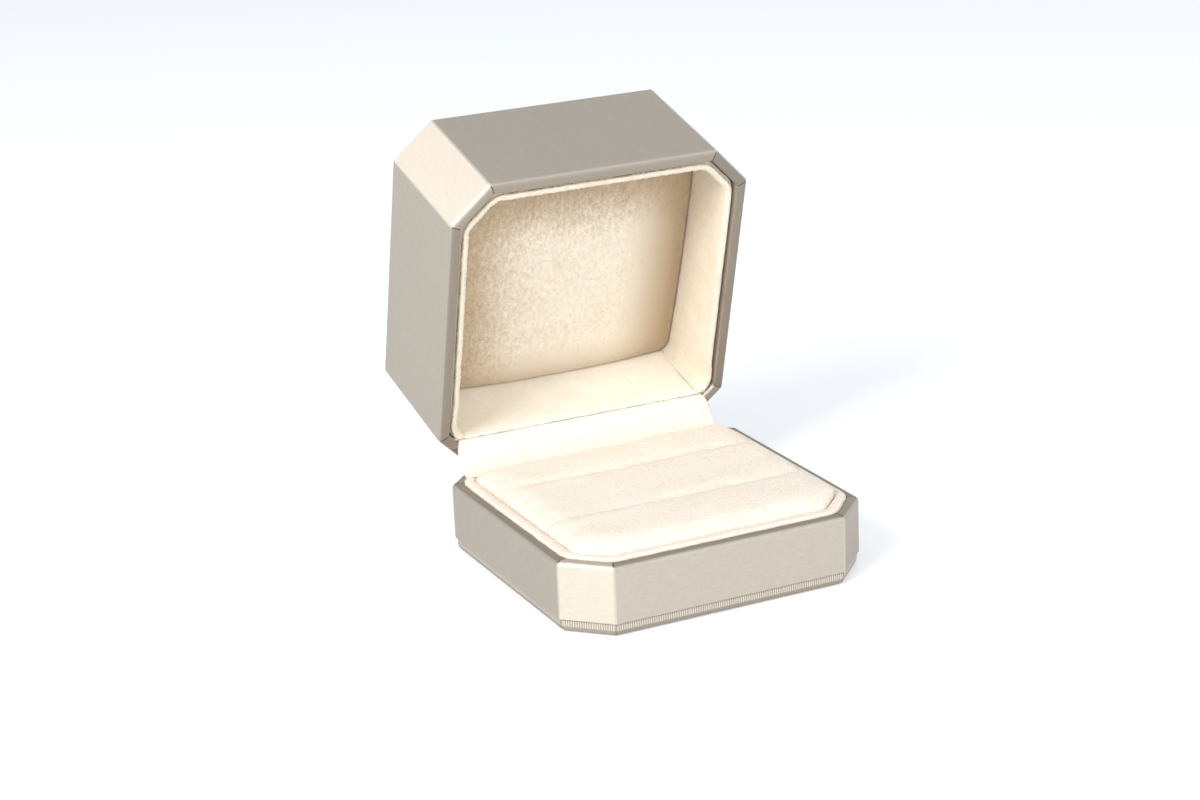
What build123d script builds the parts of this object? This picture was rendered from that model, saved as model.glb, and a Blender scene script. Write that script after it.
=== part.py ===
from build123d import *

import os
from math import cos, radians, sin, sqrt

# A small octagonal ring box with a hinged lid, standing open.
# Millimetres, +Z up, front towards -Y, origin at the middle of the underside.

# outside of the box
width = 70.0
depth = 70.0
corner_cut = 8.5
closed_height = 47.65
upright_round = 0.8
rim_round = 1.0

# bottom board under the walls
board_height = 2.85
board_inset = 0.5
board_round = 1.3

# base and lid walls: a moulded core with a leatherette skin turned over the rim
base_bottom = 2.9
base_rim = 15.45
lid_rim = 15.65
skin = 0.5
core_wall = 1.4
core_floor = 1.2
lid_roof = 2.0
turn_in = 4.0
rim_width = skin + core_wall + skin

# hinge: the pin lies along X close to the back of the parting line
open_angle = 74.7
axis_y = depth / 2 - 0.7
axis_z = 15.6
pin_radius = 0.42
bore_radius = 0.46
knuckle_radius = 0.9
leaf = 0.44
leaf_half = 15.0
knuckle_half = 12.0
notch_half = 12.3
notch_depth = 1.1

# lining of the lid
lining_outer = 3.3
card = 0.8
suede = 0.5
lining_recess = 0.6
lining_depth = 26.0
lining_round = 6.0
rear_face = 27.65
rear_lean = 0.094
rear_recess = 1.7
rear_thick = 0.9
panel_depth = 15.2
panel_crown = 1.0
panel_round = 1.9
panel_back = 25.95

# collar and pad of the base
collar_outer = 2.5
collar_suede_thick = 1.1
collar_top = base_rim + 0.35
collar_end = 26.1
collar_round = 5.0
pad_inset = 4.85
pad_back = 25.6
pad_bottom = 6.2
pad_top = base_rim + 3.1
pad_crown = 0.7
pad_round = 2.2
pad_skin = 0.8
slot_rear = 10.5
slot_front = -8.5
slot_gap = 0.5

os.makedirs("parts", exist_ok=True)


def save(node, shape):
    export_step(shape, f"parts/{node}.step")
    print(node, round(shape.volume, 1), len(shape.solids()))


def octagon(inset):
    half_x = width / 2 - inset
    half_y = depth / 2 - inset
    cut = corner_cut - inset * (2 - sqrt(2))
    corners = [
        (half_x, half_y - cut),
        (half_x - cut, half_y),
        (cut - half_x, half_y),
        (-half_x, half_y - cut),
        (-half_x, cut - half_y),
        (cut - half_x, -half_y),
        (half_x - cut, -half_y),
        (half_x, cut - half_y),
    ]
    return make_face(Polyline(*corners, close=True))


def slab(inset, low, high):
    return extrude(Plane.XY.offset(low) * octagon(inset), high - low)


def block(low, high):
    size = [b - a for a, b in zip(low, high)]
    middle = [(a + b) / 2 for a, b in zip(low, high)]
    return Pos(*middle) * Box(*size)


def upright_edges(shape):
    return shape.edges().filter_by(Axis.Z)


def edges_at(shape, level):
    return [e for e in shape.edges() if abs(e.center().Z - level) < 0.01 and e.bounding_box().size.Z < 0.01]


def rod(x_low, x_high, radius):
    shape = Rot(0, 90, 0) * Cylinder(radius, x_high - x_low)
    return Pos((x_low + x_high) / 2, axis_y, axis_z) * shape


def opened(shape):
    return shape.rotate(Axis((0, axis_y, axis_z), (1, 0, 0)), -open_angle)


def opened_point(y, z):
    turn = radians(open_angle)
    dy = y - axis_y
    dz = z - axis_z
    return (axis_y + dy * cos(turn) + dz * sin(turn), axis_z - dy * sin(turn) + dz * cos(turn))


def profile(points, x_low, x_high):
    # a closed outline in the YZ plane, drawn out along X
    outline = make_face(Polyline(*[(0, y, z) for y, z in points], close=True))
    return Pos(x_low, 0, 0) * extrude(outline, x_high - x_low, dir=(1, 0, 0))


def strip(points, thickness, half_width):
    # a curved band of even thickness; the points lie on its middle
    middle = Spline(*[(0, y, z) for y, z in points])
    count = 4 * (len(points) - 1)
    sides = []
    for side in (0.5, -0.5):
        line = []
        for k in range(count + 1):
            at = middle.position_at(k / count)
            along = middle.tangent_at(k / count)
            shift = side * thickness
            line.append((0, at.Y - along.Z * shift, at.Z + along.Y * shift))
        sides.append(line)
    left = Spline(*sides[0])
    right = Spline(*sides[1])
    ends = [Line(sides[0][0], sides[1][0]), Line(sides[0][-1], sides[1][-1])]
    outline = make_face([left, right, *ends])
    return Pos(-half_width, 0, 0) * extrude(outline, 2 * half_width, dir=(1, 0, 0))


def tray(height, floor, closed_round, window):
    # the closed side lies at 0 and the rim at height
    outside = fillet(upright_edges(slab(0, 0, height)), upright_round)
    outside = fillet(edges_at(outside, height), rim_round)
    outside = fillet(edges_at(outside, 0), closed_round)
    body = fillet(upright_edges(slab(skin, skin, height - skin)), upright_round - skin)
    body = fillet(edges_at(body, height - skin), rim_round - skin)
    wall = skin + core_wall
    core = body - slab(wall, skin + floor, height)
    cover = outside - core
    cover -= slab(wall, skin + floor, height - turn_in)
    cover -= slab(rim_width, height - turn_in - 0.01, height + 1)
    if window:
        cover -= slab(window, -1, skin + 0.01)
    rim = cover.faces().filter_by(Axis.Z).sort_by(Axis.Z)[-1]
    cover = fillet(rim.inner_wires()[0].edges(), 0.35)
    return core, cover


def band(outer, inner, low, high, ends, round_outer):
    # a strip that follows the walls round all the corners and stops at the back;
    # ends are the Y of its two ends at its low and high edge
    shapes = []
    for inset in (outer, inner):
        shapes.append(fillet(upright_edges(slab(inset, low, high)), round_outer - (inset - outer)))
    reach = profile([(-50, low), (ends[0], low), (ends[1], high), (-50, high)], -50, 50)
    return (shapes[0] - shapes[1]) & reach


def back_edges(shape):
    low = shape.bounding_box().min.Y
    return [e for e in upright_edges(shape) if abs(e.center().Y - low) < 0.01]


def domed_block(inset, y_low, y_high, low, high, crown, edge_round, cushion):
    # a block with a domed top and rounded top edges: a long roll, or a square cushion
    side = width / 2 - inset
    shape = block((-side, y_low, low), (side, y_high, high + 1))
    sharp = upright_edges
    if cushion:
        # its outline fits the rounder corners of the lining
        corner = lining_round - (inset - lining_outer) + 0.1
        shape &= fillet(upright_edges(slab(inset, low, high + 1)), corner)
        sharp = back_edges
    elif y_low < 0:
        shape &= slab(inset, low, high + 1)
    shape = fillet(sharp(shape), edge_round * 1.15)
    half = (y_high - y_low) / 2
    bow = (half**2 + crown**2) / (2 * crown)
    roof = Rot(0, 90, 0) * Cylinder(bow, width + 20)
    shape &= Pos(0, (y_low + y_high) / 2, high - bow) * roof
    top = shape.faces().sort_by(Axis.Z)[-1]
    return fillet(top.edges(), edge_round)


# base: core and skin
base_height = base_rim - base_bottom
base_core, base_cover = tray(base_height, core_floor, 0.4, 8.0)
notch = block((-notch_half, 30, axis_z - notch_depth), (notch_half, 40, axis_z + notch_depth))
base_core = Pos(0, 0, base_bottom) * base_core - notch
base_cover = Pos(0, 0, base_bottom) * base_cover - notch

# lid: the same, upside down and deeper; built closed and turned open when saved
lid_height = closed_height - lid_rim
lid_core, lid_cover = tray(lid_height, lid_roof, 0.8, None)
lid_place = Pos(0, 0, closed_height) * Rot(180, 0, 0)
lid_core = lid_place * lid_core - notch
lid_cover = lid_place * lid_cover - notch

# rivets that hold the hinge leaves to the back walls
rivet_x = 12.0
rivet_base_z = 8.2
rivet_lid_z = 23.0


def rivets(level):
    group = []
    for x in (-rivet_x, rivet_x):
        head = Rot(90, 0, 0) * Cylinder(1.3, 0.5)
        shank = Rot(90, 0, 0) * Cylinder(0.6, 2.2)
        head = chamfer(head.edges().sort_by(Axis.Y)[0], 0.2)
        face = depth / 2 - rim_width - 0.05 - leaf
        pair = Pos(x, face - 0.25, level) * head + Pos(x, face + 1.1, level) * shank
        group.append(pair)
    return group


def rivet_holes(level):
    group = []
    for x in (-rivet_x, rivet_x):
        group.append(Pos(x, depth / 2 - 1.8, level) * Rot(90, 0, 0) * Cylinder(0.62, 3.4))
    return group


for hole in rivet_holes(rivet_base_z):
    base_core -= hole
for hole in rivet_holes(rivet_lid_z):
    lid_core -= hole

save("base_tray", base_core)
save("base_leatherette", base_cover)
save("lid_shell", opened(lid_core))
save("lid_leatherette", opened(lid_cover))

# bottom board with a rounded edge
board_skin = fillet(upright_edges(slab(board_inset, 0, board_height)), 1.2)
board_skin = fillet(edges_at(board_skin, 0), board_round)
board_skin = fillet(edges_at(board_skin, board_height), 0.9)
board_core = fillet(upright_edges(slab(board_inset + skin, skin, board_height - skin)), 0.7)
board_core = fillet(edges_at(board_core, skin), board_round - skin)
board_skin -= board_core
board_skin -= slab(7, board_height - skin - 0.01, board_height + 1)
save("bottom_board", board_core)
save("bottom_leatherette", board_skin)

# back wall of the lid's lining: it leans in towards the panel, its ends fit the cut corners
rear_low = lid_rim + rear_recess
rear_high = lid_rim + panel_depth + 3


def rear_y(level):
    return rear_face - (level - rear_low) * rear_lean


rear_wall = profile(
    [
        (rear_y(rear_low), rear_low),
        (rear_y(rear_low) + rear_thick, rear_low),
        (rear_y(rear_high) + rear_thick, rear_high),
        (rear_y(rear_high), rear_high),
    ],
    -31,
    31,
)
rear_wall = fillet(rear_wall.edges().filter_by(Axis.X), 0.2)
rear_wall &= slab(rim_width + 0.15, rear_low - 1, rear_high + 1)
save("lid_rear_lining", opened(rear_wall))

# lining of the lid: card band with suede over its inner face and edge
edge_z = lid_rim + lining_recess
band_top = lid_rim + lining_depth


def lid_band(outer, inner, low, high, round_outer, past=0):
    ends = [rear_y(level) - 0.1 + past for level in (low, high)]
    return band(outer, inner, low, high, ends, round_outer)


lining_inner = lining_outer + card + suede
lid_card = lid_band(lining_outer, lining_outer + card, edge_z + suede, band_top, lining_round)
lid_suede = lid_band(lining_outer, lining_inner, edge_z, band_top, lining_round)
lip = [e for e in edges_at(lid_suede, edge_z) if e.center().Y < rear_y(edge_z) - 0.2]
lid_suede = fillet(lip, 0.45)
lid_suede -= lid_band(
    lining_outer - 0.5, lining_outer + card, edge_z + suede, band_top + 1, lining_round + 0.5, 2
)
save("lid_lining_card", opened(lid_card))
save("lid_lining_suede", opened(lid_suede))

# padded panel in the roof of the lid: board, foam and suede
roof_z = closed_height - skin - lid_roof
panel_board_low = roof_z - 0.05 - 1.6
panel_face = lid_rim + panel_depth
flip = Pos(0, 0, panel_face + roof_z - 0.05) * Rot(180, 0, 0)
panel_inset = lining_inner + 0.08


def panel(inset, y_back, low, high, crown, edge_round):
    # domed side down; the block is drawn upside down and turned over
    shape = domed_block(inset, -y_back, depth / 2 - inset, low, high, crown, edge_round, True)
    return flip * shape


panel_cover = panel(panel_inset, panel_back, panel_face, roof_z - 0.05, panel_crown, panel_round)
panel_inside = panel(
    panel_inset + suede,
    panel_back - suede,
    panel_face - 1,
    roof_z - 0.05 - suede,
    panel_crown,
    panel_round - suede,
)
panel_board = panel_inside & block((-50, -50, panel_board_low), (50, 50, roof_z - 0.05))
panel_foam = panel_inside & block((-50, -50, 0), (50, 50, panel_board_low))
save("lid_panel_board", opened(panel_board))
save("lid_panel_foam", opened(panel_foam))
save("lid_panel_suede", opened(panel_cover - panel_inside))

# collar of the base: card band with suede over its inner face and edge
collar_low = base_bottom + skin + core_floor + 0.05
collar_ends = (collar_end, collar_end)
collar_card_inner = collar_outer + card
collar_card = band(
    collar_outer, collar_card_inner, collar_low, collar_top - suede, collar_ends, collar_round
)
collar_suede = band(
    collar_outer,
    collar_card_inner + collar_suede_thick,
    collar_low,
    collar_top,
    collar_ends,
    collar_round,
)
lip = [e for e in edges_at(collar_suede, collar_top) if e.center().Y < collar_end - 0.05]
collar_suede = fillet(lip, 0.7)
collar_suede -= band(
    collar_outer - 0.5,
    collar_card_inner,
    collar_low - 1,
    collar_top - suede,
    (collar_end + 2, collar_end + 2),
    collar_round + 0.5,
)
save("base_collar_card", collar_card)
save("base_collar_suede", collar_suede)

# pad: three foam rolls side by side, each wrapped in suede; the slots lie between them
pad_front = pad_inset - depth / 2
rolls = {
    "front": (pad_front, slot_front - slot_gap / 2),
    "middle": (slot_front + slot_gap / 2, slot_rear - slot_gap / 2),
    "rear": (slot_rear + slot_gap / 2, pad_back),
}
pad_board = slab(pad_inset, collar_low, pad_bottom - 0.05)
pad_board &= block((-50, -50, 0), (50, pad_back, 50))
save("pad_board", fillet(upright_edges(pad_board), 0.8))
for name, (y_low, y_high) in rolls.items():
    roll = domed_block(pad_inset, y_low, y_high, pad_bottom, pad_top, pad_crown, pad_round, False)
    foam = domed_block(
        pad_inset + pad_skin,
        y_low + pad_skin,
        y_high - pad_skin,
        pad_bottom,
        pad_top - pad_skin,
        pad_crown,
        pad_round - pad_skin,
        False,
    )
    save(f"pad_foam_{name}", foam)
    save(f"pad_suede_{name}", roll - foam)

# hinge leaves with curled knuckles
base_knuckles = [(-knuckle_half, -7.4), (-2.3, 2.3), (7.4, knuckle_half)]
lid_knuckles = [(-7.2, -2.5), (2.5, 7.2)]
leaf_back = depth / 2 - rim_width - 0.05
leaf_front = leaf_back - leaf


def hinge_leaf(knuckles, side, far_z, level):
    # side is -1 for the leaf that runs down and 1 for the one that runs up
    tongue_a = axis_z + side * knuckle_radius
    tongue_b = tongue_a - side * leaf
    plate = block(
        (-leaf_half, leaf_front, min(far_z, tongue_a + side * 0.6)),
        (leaf_half, leaf_back, max(far_z, tongue_a + side * 0.6)),
    )
    outer = [e for e in plate.edges().filter_by(Axis.Y) if abs(e.center().Z - far_z) < 0.1]
    shape = fillet(outer, 2.0)
    for x_low, x_high in knuckles:
        shape += block(
            (x_low, leaf_front, min(tongue_a, tongue_b)), (x_high, axis_y, max(tongue_a, tongue_b))
        )
        shape += block(
            (x_low, leaf_front, min(tongue_a + side * 1, tongue_b)),
            (x_high, leaf_back, max(tongue_a + side * 1, tongue_b)),
        )
        shape += rod(x_low, x_high, knuckle_radius)
    shape -= rod(-20, 20, bore_radius)
    for hole in rivet_holes(level):
        shape -= hole
    return shape


base_leaf = hinge_leaf(base_knuckles, -1, 5.4, rivet_base_z)
lid_leaf = hinge_leaf(lid_knuckles, 1, 26.4, rivet_lid_z)
save("hinge_leaf_base", base_leaf)
save("hinge_leaf_lid", opened(lid_leaf))
save("hinge_rivets_base", Compound(children=rivets(rivet_base_z)))
save("hinge_rivets_lid", Compound(children=[opened(r) for r in rivets(rivet_lid_z)]))
pin = rod(-knuckle_half - 0.2, knuckle_half + 0.2, pin_radius)
save("hinge_pin", chamfer(pin.edges().filter_by(GeomType.CIRCLE), 0.12))

# bow spring: a steel strip from one leaf to the other over the inner side of the pin
spring_thick = 0.3
lid_foot = opened_point(leaf_front - 0.05 - spring_thick / 2, 24.0)
lid_near = opened_point(leaf_front - 0.4, 21.6)
lid_start = opened_point(leaf_front - 0.8, 19.0)
spring_path = [
    (leaf_front - 0.05 - spring_thick / 2, 7.4),
    (leaf_front - 0.25, 10.4),
    (leaf_front - 0.42, 13.6),
    (31.95, 16.4),
    (32.8, 18.3),
    (34.3, 19.3),
    lid_start,
    lid_near,
    lid_foot,
]
save("hinge_bow_spring", strip(spring_path, spring_thick, 3.0))

# suede flap that covers the hinge between the lid's lining and the pad
flap_thick = 0.8
flap_half = 30.85
flap_top = opened_point(rear_face + flap_thick / 2 + 0.02, rear_low - 0.1)
flap_path = [
    flap_top,
    (32.8, 21.3),
    (31.85, 19.85),
    (30.55, 17.6),
    (28.75, 15.65),
    (27.35, 13.7),
    (26.75, 11.0),
    (26.65, 8.6),
    (26.65, 6.3),
]
flap = strip(flap_path, flap_thick, flap_half)

# its corners are cut where the lid's and the base's rear corners would meet it
corner = slab(rim_width + 0.3, 0, 40)
flap -= opened(block((-50, 20, lid_rim - 0.25), (50, 40, 30)) - corner)
flap -= block((-50, 20, 0), (50, 40, base_rim + 0.2)) - corner
save("hinge_flap", flap)
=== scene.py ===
import math

import bmesh
import bpy
from mathutils import Matrix, Vector, kdtree, noise


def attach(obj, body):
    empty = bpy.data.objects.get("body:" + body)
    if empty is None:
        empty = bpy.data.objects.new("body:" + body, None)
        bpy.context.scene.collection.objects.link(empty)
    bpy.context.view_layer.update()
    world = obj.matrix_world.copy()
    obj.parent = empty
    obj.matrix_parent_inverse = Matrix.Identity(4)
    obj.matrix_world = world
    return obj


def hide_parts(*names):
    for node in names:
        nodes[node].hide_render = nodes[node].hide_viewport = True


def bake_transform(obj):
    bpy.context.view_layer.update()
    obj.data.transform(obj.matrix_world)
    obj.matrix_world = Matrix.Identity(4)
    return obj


# octagonal ring box, standing open; sizes are in millimetres until a piece is placed
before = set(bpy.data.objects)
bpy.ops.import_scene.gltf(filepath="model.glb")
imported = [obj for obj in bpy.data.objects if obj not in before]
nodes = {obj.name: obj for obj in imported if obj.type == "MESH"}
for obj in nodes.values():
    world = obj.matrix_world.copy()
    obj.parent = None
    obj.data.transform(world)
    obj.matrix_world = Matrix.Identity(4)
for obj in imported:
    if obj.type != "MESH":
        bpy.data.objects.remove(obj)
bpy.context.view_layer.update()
mm = 0.001

box = {
    "half": 35.0,
    "cornerCut": 8.5,
    "baseRim": 15.45,
    "lidRim": 15.65,
    "closedHeight": 47.65,
    "rimWidth": 2.4,
}
hinge = {"y": 34.3, "z": 15.6, "openAngle": math.radians(74.7)}


def basePlace(x, y, z):
    return Vector((x * mm, y * mm, z * mm))


def lidPlace(x, y, z):
    # lid pieces are worked out for the shut lid and turned back about the pin
    dy = y - hinge["y"]
    dz = z - hinge["z"]
    turn = hinge["openAngle"]
    openY = hinge["y"] + dy * math.cos(turn) + dz * math.sin(turn)
    openZ = hinge["z"] - dy * math.sin(turn) + dz * math.cos(turn)
    return Vector((x * mm, openY * mm, openZ * mm))


def linear(hexColour):
    parts = [int(hexColour[i : i + 2], 16) / 255 for i in (1, 3, 5)]
    return [p / 12.92 if p <= 0.04045 else ((p + 0.055) / 1.055) ** 2.4 for p in parts] + [1.0]


def addNode(tree, kind, settings=None, inputs=None):
    node = tree.nodes.new(kind)
    for key, value in (settings or {}).items():
        setattr(node, key, value)
    for key, value in (inputs or {}).items():
        if isinstance(value, bpy.types.NodeSocket):
            tree.links.new(value, node.inputs[key])
        else:
            node.inputs[key].default_value = value
    return node


def newMaterial(name):
    material = bpy.data.materials.new(name)
    material.use_nodes = True
    material.node_tree.nodes.clear()
    return material, material.node_tree


def unit(value):
    return min(1.0, max(0.0, value))


def runLength(points):
    return sum(math.dist(a[:2], b[:2]) for a, b in zip(points, points[1:]))


def makeObject(name, points, faces, material, smooth=True):
    mesh = bpy.data.meshes.new(name)
    mesh.from_pydata([tuple(p) for p in points], [], faces)
    mesh.validate()
    obj = bpy.data.objects.new(name, mesh)
    bpy.context.scene.collection.objects.link(obj)
    mesh.materials.append(material)
    if smooth:
        mesh.polygons.foreach_set("use_smooth", [True] * len(mesh.polygons))
    work = bmesh.new()
    work.from_mesh(mesh)
    bmesh.ops.recalc_face_normals(work, faces=work.faces)
    work.to_mesh(mesh)
    work.free()
    return obj


def applyModifiers(obj):
    graph = bpy.context.evaluated_depsgraph_get()
    mesh = bpy.data.meshes.new_from_object(obj.evaluated_get(graph))
    obj.modifiers.clear()
    obj.data = mesh
    mesh.polygons.foreach_set("use_smooth", [True] * len(mesh.polygons))


def thicken(obj, thickness, offset):
    solid = obj.modifiers.new("thickness", "SOLIDIFY")
    solid.thickness = thickness * mm
    solid.offset = offset
    applyModifiers(obj)


def octagonCorners(inset):
    half = box["half"] - inset
    cut = box["cornerCut"] - inset * (2 - math.sqrt(2))
    inner = half - cut
    left = [(-half, inner), (-half, -inner)]
    front = [(-inner, -half), (inner, -half)]
    right = [(half, -inner), (half, inner)]
    return [*left, *front, *right, (inner, half), (-inner, half)]


def bandPath(inset, endY):
    # from the left rear corner round the front to the right rear corner, stopping at endY
    corners = octagonCorners(inset)
    half = box["half"] - inset
    inner = corners[0][1]
    endX = half if endY <= inner else half - (endY - inner)
    return [(-endX, endY), *corners[0:6], (endX, endY)]


def roundedPath(points, radius, step, closed=False):
    # even steps along straight runs and arcs; each station is (x, y, outward x, outward y)
    count = len(points)
    pieces = []
    for i, point in enumerate(points):
        here = Vector(point)
        if not closed and i in (0, count - 1):
            pieces.append((here, None, here))
            continue
        back = (Vector(points[i - 1]) - here).normalized()
        ahead = (Vector(points[(i + 1) % count]) - here).normalized()
        halfAngle = back.angle(ahead) / 2
        reach = radius / math.tan(halfAngle)
        centre = here + (back + ahead).normalized() * (radius / math.sin(halfAngle))
        pieces.append((here + back * reach, centre, here + ahead * reach))
    stations = []
    for i, (start, centre, end) in enumerate(pieces):
        if centre is not None:
            first = start - centre
            last = end - centre
            sweep = first.angle_signed(last)
            parts = max(4, int(abs(sweep) * radius / step))
            for k in range(parts + 1):
                spoke = first.copy()
                spoke.rotate(Matrix.Rotation(-sweep * k / parts, 2))
                way = spoke.normalized()
                stations.append((centre.x + spoke.x, centre.y + spoke.y, way.x, way.y))
        if i == count - 1 and not closed:
            break
        following = pieces[(i + 1) % count][0]
        run = following - end
        if run.length < 1e-6:
            continue
        outward = Vector((run.y, -run.x)).normalized()
        parts = max(1, round(run.length / step))
        low = 0 if centre is None else 1
        high = parts + 1 if (i == count - 2 and not closed) else parts
        for k in range(low, high):
            spot = end + run * (k / parts)
            stations.append((spot.x, spot.y, outward.x, outward.y))
    return stations


def sweepSection(stations, section, place, closed=False, wobble=None):
    # section points are (distance inwards, height)
    points = []
    for x, y, outX, outY in stations:
        for j, (inward, z) in enumerate(section):
            px = x - outX * inward
            py = y - outY * inward
            if wobble:
                push, lift = wobble(px, py, z, j)
                px += outX * push
                py += outY * push
                z += lift
            points.append(place(px, py, z))
    width = len(section)
    faces = []
    turns = len(stations) if closed else len(stations) - 1
    for i in range(turns):
        a = i * width
        b = ((i + 1) % len(stations)) * width
        for j in range(width - 1):
            faces.append((a + j, a + j + 1, b + j + 1, b + j))
    return points, faces


# solved from the box's corners in the photo; back points from the box to the camera, in metres
photoCamera = {
    "back": (-0.40625, -0.85825, 0.31363),
    "place": (-0.23619, -0.47498, 0.21121),
    "rollDegrees": -2.42,
    "lens": 79.776,
    "sensor": 36,
    "clipStart": 0.01,
}


def makeCamera():
    back = Vector(photoCamera["back"]).normalized()
    right = Vector((0, 0, 1)).cross(back).normalized()
    up = back.cross(right)
    roll = math.radians(photoCamera["rollDegrees"])
    rolledRight = right * math.cos(roll) + up * math.sin(roll)
    rolledUp = up * math.cos(roll) - right * math.sin(roll)
    data = bpy.data.cameras.new("photoCamera")
    data.lens = photoCamera["lens"]
    data.sensor_width = photoCamera["sensor"]
    data.clip_start = photoCamera["clipStart"]
    camera = bpy.data.objects.new("photoCamera", data)
    bpy.context.scene.collection.objects.link(camera)
    columns = (rolledRight, rolledUp, back, photoCamera["place"])
    rows = [[column[i] for column in columns] for i in range(3)]
    camera.matrix_world = Matrix((*rows, (0, 0, 0, 1)))
    bpy.context.scene.camera = camera


makeCamera()
print("camera placed")


# layers are ((length, breadth, 1) of a streak in mm, detail); pairs are where a fade starts and ends
leatherettePiece = {
    "colour": "#C9C0B3",
    "darkColour": "#C0B6A8",
    # painted shade over the rim's top
    "rimShadeColour": "#A2988A",
    "foldColour": "#5E5448",
    # painted highlight along the upright edges
    "edgeHighlightColour": "#F3EADC",
    # painted shade between the board's ribs, painted highlight on them, and painted shade on the
    # board's low half
    "ribShade": "#A99E8F",
    "ribLight": "#EDE4D6",
    "underShadeColour": "#A79C8D",
    "metallic": 0.7,
    "roughness": 0.46,
    "anisotropic": 0.95,
    "layers": {"line": ((2.5, 0.3125, 1.0), 3.0), "weave": ((0.625, 1.25, 1.0), 2.0)},
    "weaveShare": 0.3,
    "contrast": (0.3, 0.7),
    "bumpMm": 0.045,
    "foldMm": 0.16,
    "foldDepth": 3.0,
    "boardFold": 0.5,
    "rimFade": (0.1, 0.4),
    "rimShadeShare": 0.85,
    "edgeHighlightMm": 0.3,
    "edgeHighlightShare": 0.7,
    "skinMm": 0.35,
    "turnedInMm": 4.5,
    "roofMm": 0.25,
    "ribMm": 0.5,
    "ribTone": (-1.0, 0.4),
    "ribFade": (1.25, 1.65),
    "ribRise": (1.1, 1.6),
    "ribDepth": 2.0,
}


def boxCoordinates(tree, turn):
    # distances to the eight walls give a length along the nearest wall, and the mitred corners
    where = addNode(tree, "ShaderNodeTexCoord")
    pin = (0, hinge["y"] * mm, hinge["z"] * mm)
    shut = addNode(
        tree,
        "ShaderNodeVectorRotate",
        {"rotation_type": "X_AXIS"},
        {"Vector": where.outputs["Object"], "Center": pin, "Angle": turn},
    )
    scaled = addNode(
        tree,
        "ShaderNodeVectorMath",
        {"operation": "SCALE"},
        {"Vector": shut.outputs[0], "Scale": 1000.0},
    )
    split = addNode(tree, "ShaderNodeSeparateXYZ", {}, {"Vector": scaled.outputs[0]})
    spot = dict(zip("xyz", split.outputs))
    cornerSum = 2 * box["half"] - box["cornerCut"]
    # a ring of skin is turned in along the walls; past it, and on the roof, lies one plain field
    sums = [
        ("sizeX", "ABSOLUTE", "x", 0.0),
        ("sizeY", "ABSOLUTE", "y", 0.0),
        ("gapX", "SUBTRACT", box["half"], "sizeX"),
        ("gapY", "SUBTRACT", box["half"], "sizeY"),
        ("both", "ADD", "sizeX", "sizeY"),
        ("short", "SUBTRACT", cornerSum, "both"),
        ("gapCut", "MULTIPLY", "short", math.sqrt(0.5)),
        ("gapWall", "MINIMUM", "gapX", "gapY"),
        ("nearest", "MINIMUM", "gapWall", "gapCut"),
        ("onCut", "LESS_THAN", "gapCut", "gapWall"),
        ("onSide", "LESS_THAN", "gapX", "gapY"),
        ("notSide", "SUBTRACT", 1.0, "onSide"),
        ("spread", "SUBTRACT", "sizeX", "sizeY"),
        ("cutAlong", "MULTIPLY", "spread", math.sqrt(0.5)),
        ("ringAcross", "SUBTRACT", "z", "nearest"),
        ("pastRing", "GREATER_THAN", "nearest", leatherettePiece["turnedInMm"]),
        ("onRoof", "GREATER_THAN", "z", box["closedHeight"] - leatherettePiece["roofMm"]),
        ("inField", "MAXIMUM", "pastRing", "onRoof"),
        ("signX", "SIGN", "x", 0.0),
        ("signY", "SIGN", "y", 0.0),
        ("turnedX", "MULTIPLY", "signX", -1.0),
        ("mitre", "SUBTRACT", "gapWall", "gapCut"),
        ("mitreGap", "ABSOLUTE", "mitre", 0.0),
    ]
    for name, operation, first, second in sums:
        inputs = {0: spot.get(first, first), 1: spot.get(second, second)}
        spot[name] = addNode(tree, "ShaderNodeMath", {"operation": operation}, inputs).outputs[0]
    choices = [
        ("wallAlong", "onSide", "x", "y"),
        ("ringAlong", "onCut", "wallAlong", "cutAlong"),
        ("along", "inField", "ringAlong", "x"),
        ("across", "inField", "ringAcross", "y"),
    ]
    for name, chooser, first, second in choices:
        inputs = {"Factor": spot[chooser], "A": spot[first], "B": spot[second]}
        mix = addNode(tree, "ShaderNodeMix", {"data_type": "FLOAT"}, inputs)
        spot[name] = mix.outputs["Result"]
    wallWay = addNode(tree, "ShaderNodeCombineXYZ", {}, {"X": spot["notSide"], "Y": spot["onSide"]})
    cutWay = addNode(tree, "ShaderNodeCombineXYZ", {}, {"X": spot["signY"], "Y": spot["turnedX"]})
    ringWay = addNode(
        tree,
        "ShaderNodeMix",
        {"data_type": "VECTOR"},
        {"Factor": spot["onCut"], "A": wallWay.outputs[0], "B": cutWay.outputs[0]},
    )
    way = addNode(
        tree,
        "ShaderNodeMix",
        {"data_type": "VECTOR"},
        {"Factor": spot["inField"], "A": ringWay.outputs["Result"], "B": (1.0, 0.0, 0.0)},
    )
    spot["way"] = way.outputs["Result"]
    return spot


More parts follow.
